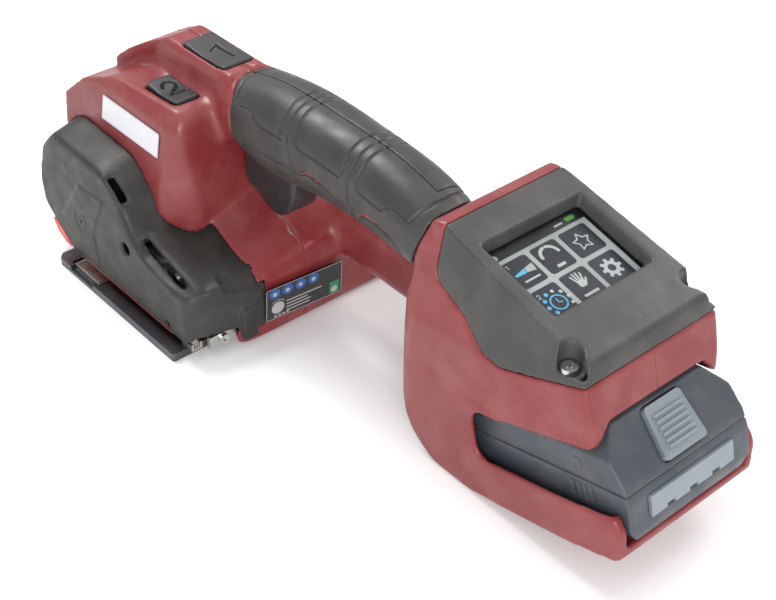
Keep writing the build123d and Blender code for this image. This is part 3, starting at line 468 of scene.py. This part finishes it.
def seam_prism(side):
    """Solid that holds one half: side -1 is the strap side, +1 the far side."""
    far = side * 300.0
    near = HANDLE_Y + side * SEAM_GAP / 2
    rear = BLOCK_Y + side * SEAM_GAP / 2
    step = SEAM_STEP_X
    outline = [(-300, far), (-300, near), (step, near), (step, rear), (300, rear), (300, far)]
    return upright_prism("seam_prism", outline, -50, 200)


def split_housing():
    shell = housing_shell()
    for side, node in ((-1, "housing_near"), (1, "housing_far")):
        half = shared_with(node + "_skin", shell, seam_prism(side))
        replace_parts(add_piece(node + "_skin", half, "housing_red"), node)


def soften_node(node, voxel, passes, material, body="root", keep=1.0):
    mesh = remeshed(node + "_skin", (node,), voxel)
    relax(mesh, passes)
    if keep < 1:
        mesh = lighter(mesh, keep)
    piece = add_piece(node + "_skin", mesh, material, body)
    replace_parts(piece, node)
    return piece


# ---- Flat artwork -------------------------------------------------------------
class Sheet:
    """Plane in millimetres that flat shapes are drawn on; layers stand 0.02 mm apart."""

    def __init__(self, origin, right, up):
        self.origin = Vector(origin)
        self.right = Vector(right).normalized()
        self.up = Vector(up).normalized()
        self.out = self.right.cross(self.up)

    def at(self, x, y, layer=0):
        return tuple(self.origin + self.right * x + self.up * y + self.out * 0.02 * layer)


def disc(centre, radius, sides=28):
    return [(centre[0] + radius * cos(2 * pi * k / sides), centre[1] + radius * sin(2 * pi * k / sides))
            for k in range(sides)]


def rounded_box(x_low, x_high, y_low, y_high, radius=0.0, steps=5):
    if radius == 0:
        return [(x_low, y_low), (x_high, y_low), (x_high, y_high), (x_low, y_high)]
    points = []
    corners = ((x_high - radius, y_high - radius), (x_low + radius, y_high - radius),
               (x_low + radius, y_low + radius), (x_high - radius, y_low + radius))
    for quarter, (x, y) in enumerate(corners):
        for k in range(steps + 1):
            angle = pi / 2 * (quarter + k / steps)
            points.append((x + radius * cos(angle), y + radius * sin(angle)))
    return points


def stroke(points, width, closed=False):
    """Line of even width with round joints, as a list of flat outlines."""
    ends = points + points[:1] if closed else points
    shapes = [disc(p, width / 2, 12) for p in ends]
    for (x0, y0), (x1, y1) in zip(ends, ends[1:]):
        length = max(1e-6, ((x1 - x0) ** 2 + (y1 - y0) ** 2) ** 0.5)
        dx, dy = -(y1 - y0) / length * width / 2, (x1 - x0) / length * width / 2
        shapes.append([(x0 - dx, y0 - dy), (x1 - dx, y1 - dy), (x1 + dx, y1 + dy), (x0 + dx, y0 + dy)])
    return shapes


def arc(centre, radius, start, end, steps=16):
    """Points on a circle between two angles in degrees."""
    angles = [radians(start + (end - start) * k / steps) for k in range(steps + 1)]
    return [(centre[0] + radius * cos(a), centre[1] + radius * sin(a)) for a in angles]


def artwork(name, sheet, shapes, material, body="root", layer=1):
    """One flat piece made of several outlines, each lifted a hair above the one before."""
    points, faces = [], []
    for index, shape in enumerate(shapes):
        faces.append(tuple(range(len(points), len(points) + len(shape))))
        points += [sheet.at(x, y, layer + 0.02 * index) for x, y in shape]
    return add_piece(name, mesh_of(name, points, faces), material, body, smooth=False)


DIGIT_ONE = [(-0.28, 0.28), (0.06, 0.5), (0.06, -0.5)]
DIGIT_TWO = [(-0.32, 0.22), (-0.24, 0.42), (0, 0.5), (0.24, 0.42), (0.32, 0.2), (0.2, -0.02), (-0.34, -0.5),
             (0.36, -0.5)]


def numeral(points, centre, height, width):
    return stroke([(centre[0] + x * height, centre[1] + y * height) for x, y in points], width)


# ---- Display picture --------------------------------------------------------------
def star(centre, outer, inner):
    return [(centre[0] + r * cos(radians(90 + 36 * k)), centre[1] + r * sin(radians(90 + 36 * k)))
            for k, r in ((k, inner if k % 2 else outer) for k in range(10))]


def gear(centre, root, tip, bore, teeth=8):
    """Cog drawn as a broad ring and square teeth."""
    shapes = stroke(arc(centre, (root + bore) / 2, 0, 360, 32), root - bore)
    for k in range(teeth):
        angle = 2 * pi * k / teeth
        along, aside = (cos(angle), sin(angle)), (-sin(angle), cos(angle))
        corners = ((root - 0.3, -0.95), (tip, -0.7), (tip, 0.7), (root - 0.3, 0.95))
        shapes.append([(centre[0] + u * along[0] + v * aside[0], centre[1] + u * along[1] + v * aside[1])
                       for u, v in corners])
    return shapes


def hand(centre):
    """Open hand: palm, four fingers and a thumb."""
    x, y = centre
    shapes = [rounded_box(x - 2.0, x + 2.0, y - 3.2, y + 0.6, 1.2)]
    for k, (top, lean) in enumerate(((3.6, -1.0), (4.4, -0.3), (4.3, 0.4), (3.4, 1.2))):
        base = x - 1.6 + 1.07 * k
        shapes += stroke([(base, y), (base + lean, y + top)], 0.85)
    return shapes + stroke([(x + 1.6, y - 2.0), (x + 3.4, y + 0.2)], 0.95)


def beads(centre, reach, radius, angles):
    """Discs on a circle, at angles in degrees."""
    return [disc((centre[0] + reach * cos(radians(a)), centre[1] + reach * sin(radians(a))), radius)
            for a in angles]


def draw_display():
    """Picture between the panel and the glass; its middle is shifted a little, as seen through the glass."""
    tilt, depth, dial = radians(13.6), 7.57, (-17.5, -14.6)
    normal = Vector((sin(tilt), 0, cos(tilt)))
    slope_up = (-cos(tilt), 0, sin(tilt))
    origin = Vector((105.0, BLOCK_Y + 0.9, 113.4)) - depth * normal + 0.7 * Vector(slope_up)
    sheet = Sheet(origin, (0, 1, 0), slope_up)
    field = [rounded_box(-27.2, 26.6, -21.6, 14.7)]
    artwork("display_grid", sheet, field, "lit_grey")
    columns = ((-25.2, -11.5), (-9.2, 5.6), (7.9, 23.7))
    rows = ((-2.8, 12.7), (-21.2, -5.1))
    tiles = [rounded_box(*x, *y, 1.6) for y in rows for x in columns]
    artwork("display_tiles", sheet, tiles, "lit_dark", layer=2)
    icons = numeral(DIGIT_ONE, (-23.4, 10.2), 2.1, 0.42) + numeral(DIGIT_TWO, (-23.1, -8.4), 2.1, 0.42)
    icons += [[(-17.6, 4.2), (-12.9, 3.3), (-12.4, 7.4), (-17.2, 6.6)]]
    icons += stroke(arc((-1.9, 6.2), 4.6, 178, 100, 8), 1.5) + stroke(arc((-1.9, 6.2), 4.6, 80, 2, 8), 1.5)
    icons += stroke(star((15.6, 4.6), 4.6, 2.4), 0.6, closed=True)
    icons += hand((-1.6, -11.0)) + gear((15.8, -12.9), 3.7, 5.2, 1.9)
    icons += beads(dial, 6.0, 0.85, (76, 40, 4, -30))
    icons += [rounded_box(-22.3, -13.6, 0.0, 0.9, 0.3), rounded_box(-4.1, 0.6, -1.0, 0.5, 0.3),
              rounded_box(-5.9, 2.4, -18.9, -17.6, 0.3)]
    icons += [[(-25.8, 17.0), (-24.4, 18.4), (-23.0, 17.0)], rounded_box(-25.3, -23.5, 15.6, 17.0)]
    icons += [rounded_box(10.4, 15.4, 16.5, 17.5, 0.3)]
    artwork("display_icons", sheet, icons, "lit_grey", layer=3)
    blue = [[(-23.9, 4.3), (-17.9, 4.0), (-17.5, 6.6), (-23.7, 5.3)]]
    blue += stroke(arc(dial, 3.7, 0, 360, 28), 0.7)
    blue += stroke([(-17.5, -12.6), dial, (-15.9, -15.2)], 0.5)
    blue += beads(dial, 6.0, 0.95, (112, 148, 184, 220))
    artwork("display_blue", sheet, blue, "lit_blue", layer=4)
    battery = [rounded_box(17.6, 22.6, 16.4, 18.6, 0.4), rounded_box(22.8, 23.3, 17.0, 18.0)]
    artwork("display_charge", sheet, battery, "lit_green", layer=3)


def draw_type_label():
    normal = Vector((0.994, -0.0825, -0.0663)).normalized()
    right = Vector((0.083, 1, 0)).normalized()
    middle = Vector((-39.05, -2, 20.5)) + normal * 0.37
    sheet = Sheet(middle, right, normal.cross(right))
    frame_lines = stroke(rounded_box(-22.2, 22.2, -9.7, 9.7, 0.9), 0.3, closed=True)
    white = frame_lines + [disc((-15.6, -3.3), 3.7)] + stroke(arc((-15.6, -3.3), 4.9, 130, 45, 8), 0.35)
    for k, length in enumerate((21.0, 12.5, 14.5, 13.5)):
        white.append(rounded_box(-10.6, -10.6 + length, -1.6 - 2.0 * k, -0.9 - 2.0 * k, 0.2))
    white += [rounded_box(-17.9 + 2.4 * k, -16.3 + 2.4 * k, -9.0, -7.9) for k in range(4)]
    artwork("type_label_print", sheet, white, "ink_grey")
    discs = [disc((x, 6.2), 3.1) for x in (-17.4, -10.0, -2.4, 5.2)]
    artwork("type_label_discs", sheet, discs, "ink_blue", layer=2)
    marks = [disc((x, 5.8), 1.2) for x in (-17.4, -10.0, -2.4, 5.2)] + [disc((18.0, -6.4), 1.9)]
    artwork("type_label_marks", sheet, marks, "ink_grey", layer=4)
    artwork("type_label_green", sheet, [rounded_box(15.2, 20.8, -9.2, -1.4, 0.8)], "ink_green", layer=2)


def draw_name_label():
    normal = Vector((0, -0.985, 0.172)).normalized()
    middle = Vector((-120.0, -43.15, 93.6)) + normal * 0.37
    sheet = Sheet(middle, (1, 0, 0), normal.cross(Vector((1, 0, 0))))
    edge = stroke(rounded_box(-24.0, 24.0, -6.0, 6.0, 0.5), 0.2, closed=True)
    artwork("name_label_edge", sheet, edge, "ink_grey")


# Numerals as strokes on a cap, in millimetres: across the tool, then towards the head.
NUMERAL_ONE = ((-3.9, 105.5), (1.5, 108.5), (1.5, 93.8))
NUMERAL_TWO = ((-27.8, 111.8), (-26.6, 114.4), (-24.2, 115.4), (-21.8, 114.6), (-20.5, 112.4), (-21.4, 109.8),
               (-28.0, 104.2), (-20.2, 104.2))


def draw_floor(name, mesh, chosen, material, body="root"):
    """Copy of the chosen stretch of a mesh in another material, lifted a hair."""
    points = coordinates(mesh) / MM + 0.05 * vertex_normals(mesh)
    faces = [tuple(face.vertices) for face in mesh.polygons if all(chosen[v] for v in face.vertices)]
    used = sorted({v for face in faces for v in face})
    place = {v: k for k, v in enumerate(used)}
    strip = mesh_of(name, [tuple(points[v]) for v in used], [[place[v] for v in f] for f in faces])
    add_piece(name, strip, material, body)


def engraved_cap(node, body, path, drop):
    """Button cap with rounded edges and a numeral sunk into its top, which is lowered by drop."""
    mesh = remeshed(node + "_skin", (node,), 0.3)
    relax(mesh, 8)
    points = coordinates(mesh) / MM
    facing_up = vertex_normals(mesh)[:, 2] > 0.7
    distance = distance_to_path(np.stack([points[:, 1], -points[:, 0]], 1), path)
    points[:, 2] -= 0.6 * np.clip((0.85 - distance) / 0.3 + 0.5, 0, 1) * facing_up
    set_coordinates(mesh, points * MM)
    high = points[:, 2].max()
    points[:, 2] -= drop * np.clip((points[:, 2] - high + 5) / 3, 0, 1)
    set_coordinates(mesh, points * MM)
    # Near-black copy over the numeral's floor: painted shade in the sunk strokes, whose real floor is the
    # cap's own grey.
    draw_floor(node + "_numeral_shade", mesh, facing_up & (distance < 0.8), "trim_shadow", body)
    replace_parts(add_piece(node + "_skin", lighter(mesh, 0.5), "trim_black", body), node)


# ---- Rubber grip -------------------------------------------------------------------
# Top line of the handle: place along the tool, then height.
HANDLE_TOP = ((-86, 126.0), (-60, 130.0), (-34, 132.2), (-6, 131.8), (24, 130.2), (48, 125.2), (58, 122.0),
              (72, 117.0))
# Grooves as (along the tool, girth from the top seam), width and depth in millimetres.
GRIP_GROOVES = (
    (((-76.3, 0), (-74.5, 6), (-72, 12), (-70, 19.5), (-68.4, 25)), 1.0, 1.2),
    (((-68.4, 25), (-66.5, 27.6), (-60.1, 27), (-55.5, 28), (-52.3, 31), (-49.1, 33.2), (-41.2, 33.6),
      (-32, 33.6)), 0.8, 0.9),
    (((-36.8, 0), (-36, 6.3), (-35, 13.4), (-34.3, 21.5), (-33.6, 27), (-33.3, 31)), 0.7, 1.0),
    (((-31.6, 0), (-30.9, 9), (-30.2, 17), (-28.5, 27.4), (-27.4, 34.3), (-26.5, 41), (-24.5, 46)), 0.7, 1.0),
    (((-26.8, 0), (-26.0, 9), (-25, 17), (-23.8, 25), (-22.6, 30), (-20.5, 32.3), (-17, 32.6), (-4, 32.2),
      (7.5, 32)), 0.7, 1.0),
    (((7.0, 0), (7.5, 9), (7.7, 17), (8.1, 24), (8.4, 29)), 0.7, 1.0),
    (((12.8, 0), (13.1, 8), (13.2, 17), (13.0, 27), (12.6, 36), (12.7, 41), (13.8, 46)), 0.7, 1.0),
    (((18.1, 0), (18.2, 9), (18.1, 17.4), (18.3, 26), (18.7, 30.6), (20.4, 32.6), (27.4, 32.6), (34.6, 31.8),
      (37.4, 28.4), (39.9, 25.9), (44.1, 25.4), (50.6, 25)), 0.7, 1.0),
    (((54.5, 0), (54.3, 9), (52.6, 16), (51.4, 21.7), (50.8, 25)), 0.8, 1.0),
    (((-64, 47.6), (-52.3, 47.2), (-39.4, 48), (-29.9, 46.7), (-20, 46)), 0.7, 0.9),
)
# Slots low on the grip where the red core shows, in the same form.
GRIP_SLOTS = (
    (((-18.5, 45.3), (-16.5, 43.2), (-13.8, 42.6), (-6, 42.8), (2, 45)), 1.2, 1.3),
    (((18.9, 45.4), (21.8, 43.2), (26.1, 42.1), (32.3, 41.2), (40.3, 40.9), (45.5, 43.5)), 1.2, 1.3),
)


def distance_to_path(points, path):
    """Shortest distance of 2-D points to a broken line."""
    best = np.full(len(points), 1e9)
    for start, end in zip(path, path[1:]):
        start, end = np.array(start, float), np.array(end, float)
        along = end - start
        share = np.clip(((points - start) @ along) / (along @ along), 0, 1)
        best = np.minimum(best, np.linalg.norm(points - start - share[:, None] * along, axis=1))
    return best


def pin_plug(node):
    """Rubber over the end of the trigger pin."""
    x, z = TRIGGER_PIN
    radius = 2.3
    points = coordinates(frame["nodes"][node].data) / MM
    rim = points[np.hypot(points[:, 0] - x, points[:, 2] - z) < radius]
    side = -1 if node == "grip_near" else 1
    reach = np.percentile(np.abs(rim[:, 1] - HANDLE_Y), 90) - 0.1
    ring = [(x + radius * cos(2 * pi * k / 20), z + radius * sin(2 * pi * k / 20)) for k in range(20)]
    plug = upright_prism(node + "_plug", ring, 13.0, reach)
    turned = coordinates(plug)
    set_coordinates(plug, np.stack([turned[:, 0], HANDLE_Y * MM + side * turned[:, 2], turned[:, 1]], 1))
    return plug


def grooved_grip(node):
    mesh = remeshed(node + "_skin", (node,), 0.45, [pin_plug(node)])
    relax(mesh, 4)
    points = coordinates(mesh) / MM
    front = np.interp(np.abs(points[:, 1] - HANDLE_Y), *np.array(GRIP_FRONT).T)
    points[:, 0] = np.maximum(points[:, 0], front)
    normals = vertex_normals(mesh)
    top = np.interp(points[:, 0], *np.array(HANDLE_TOP).T)
    aside = np.abs(points[:, 1] - HANDLE_Y)
    unrolled = np.stack([points[:, 0], aside + np.maximum(top - points[:, 2], 0)], 1)
    outward = points - np.array([0, HANDLE_Y, GRIP_CENTRE_Z])
    facing_out = (normals[:, 1:] * outward[:, 1:]).sum(1) > 0
    sunk = np.zeros(len(points))
    for path, width, depth in GRIP_GROOVES + GRIP_SLOTS:
        share = np.clip(1 - distance_to_path(unrolled, path) / width, 0, 1)
        sunk = np.maximum(sunk, depth * share * share * (3 - 2 * share))
    points = points - normals * (sunk * facing_out)[:, None]
    set_coordinates(mesh, points * MM)
    relax(mesh, 1)
    floor = np.zeros(len(points), bool)
    for path, width, _ in GRIP_SLOTS:
        floor |= distance_to_path(unrolled, path) < 0.4 * width
    draw_floor(node + "_slots", mesh, floor & facing_out, "trim_red")
    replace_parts(add_piece(node + "_skin", lighter(mesh, 0.6), "grip_rubber"), node)


# ---- Side cover ----------------------------------------------------------------------
PAD = ((-142, 58), (-117, 60), (-131, 33), (-127, 12), (-156, 12), (-163, 29))


def inside_polygon(points, polygon):
    """Signed measure: positive inside a convex or simple outline, in millimetres."""
    x, z = points[:, 0], points[:, 1]
    odd = np.zeros(len(points), bool)
    for (x0, z0), (x1, z1) in zip(polygon, polygon[1:] + polygon[:1]):
        crosses = (z0 > z) != (z1 > z)
        odd ^= crosses & (x < (x1 - x0) * (z - z0) / (z1 - z0 if z1 != z0 else 1e-9) + x0)
    edge = distance_to_path(points, list(polygon) + [polygon[0]])
    return np.where(odd, edge, -edge)


def moulded_cover():
    mesh = remeshed("side_cover_skin", ("side_cover",), 0.6)
    relax(mesh, 14)
    points = coordinates(mesh) / MM
    soft = near_line(points, (-106, -60, 62), (-50, -60, 38), 9)
    for start, end, radius in (((-180, -60, 60), (-160, -60, 74), 10), ((-160, -60, 74), (-118, -60, 72), 10),
                               ((-118, -60, 72), (-96, -60, 52), 10), ((-50, -62, 36), (-50, -62, 12), 6)):
        soft = np.maximum(soft, near_line(points, start, end, radius))
    for centre, radius in (((-109.5, 69), 11), ((-102, 39.5), 6), ((-69, 12.5), 4)):
        soft *= 1 - near_line(points, (centre[0], -75, centre[1]), (centre[0], -40, centre[1]), radius, 0.8)
    relax(mesh, 60, soft)
    points = coordinates(mesh) / MM
    flat = points[:, 1] < COVER_FACE_Y + 0.7
    side = points[:, [0, 2]]
    raised = np.clip(inside_polygon(side, PAD) / 1.4, 0, 1) * 0.55
    ring = np.abs(np.hypot(side[:, 0] + 142, side[:, 1] - 35) - 5.2)
    raised -= 0.35 * np.clip(1 - ring / 0.6, 0, 1)
    raised -= 1.2 * np.clip(1 - np.hypot(side[:, 0] + 142, side[:, 1] - 35) / 1.1, 0, 1)
    points[:, 1] -= raised * flat
    set_coordinates(mesh, points * MM)
    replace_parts(add_piece("side_cover_skin", lighter(mesh, 0.6), "cover_dark"), "side_cover")


# ---- Stage --------------------------------------------------------------------------
def stage():
    corners = [(-3000, -3000, 0), (3000, -3000, 0), (3000, 3000, 0), (-3000, 3000, 0)]
    floor = bpy.data.objects.new("floor", mesh_of("floor", corners, [(0, 1, 2, 3)]))
    material, tree, shader = node_material("floor_paper")
    tone = spread(tree, noise(tree, 3, 2), 0.3, 0.7, 0, 1)
    link(tree, blend_colours(tree, tone, (0.93, 0.93, 0.93), (0.90, 0.90, 0.90)), shader.inputs["Base Color"])
    shader.inputs["Roughness"].default_value = 0.9
    floor.data.materials.append(material)
    bpy.context.scene.collection.objects.link(floor)

    world = bpy.data.worlds.new("studio")
    world.use_nodes = True
    world.node_tree.nodes["Background"].inputs["Color"].default_value = (1, 1, 1, 1)
    world.node_tree.nodes["Background"].inputs["Strength"].default_value = 0.75
    bpy.context.scene.world = world
    bpy.context.scene.view_settings.view_transform = "Standard"
    target = Vector((-0.02, 0.0, 0.07))
    lights = (("key", (-0.55, 0.05, 0.95), 0.45, 9),
              ("rim", (0.1, 0.9, 0.75), 0.4, 5),
              ("front", (0.85, -0.65, 0.5), 0.5, 9))
    for name, place, size, energy in lights:
        light = bpy.data.lights.new(name, "AREA")
        light.size = size
        light.energy = energy
        lamp = bpy.data.objects.new(name, light)
        lamp.location = place
        lamp.rotation_euler = (target - Vector(place)).to_track_quat("-Z", "Y").to_euler()
        bpy.context.scene.collection.objects.link(lamp)


def camera():
    lens = bpy.data.cameras.new("view")
    lens.lens, lens.sensor_width = 68.0, 36.0
    lens.clip_start, lens.clip_end = 0.02, 20
    place, target = Vector((0.4180, -0.3528, 0.4665)), Vector((-0.0523, 0.0656, -0.0273))
    roll = Matrix.Rotation(radians(1.1), 3, "Z").to_quaternion()
    turn = (target - place).to_track_quat("-Z", "Y") @ roll
    eye = bpy.data.objects.new("view", lens)
    eye.location, eye.rotation_mode, eye.rotation_quaternion = place, "QUATERNION", turn
    bpy.context.scene.collection.objects.link(eye)
    bpy.context.scene.camera = eye


MATERIALS = make_materials()
stage()
camera()
dress_nodes(MATERIALS)
split_housing()
grooved_grip("grip_near")
grooved_grip("grip_far")
moulded_cover()
soften_node("display_bezel", 0.55, 12, "bezel_dark", keep=0.5)
soften_node("trigger", 0.7, 8, "trim_black", "trigger_lever", 0.5)
engraved_cap("button_one", "button_one_cap", NUMERAL_ONE, 0.3)
engraved_cap("button_two", "button_two_cap", NUMERAL_TWO, 1.3)
soften_node("battery_upper_case", 0.6, 7, "battery_blue", "battery_pack", 0.4)
soften_node("battery_lower_case", 0.6, 5, "battery_blue", "battery_pack", 0.4)
draw_display()
draw_type_label()
draw_name_label()
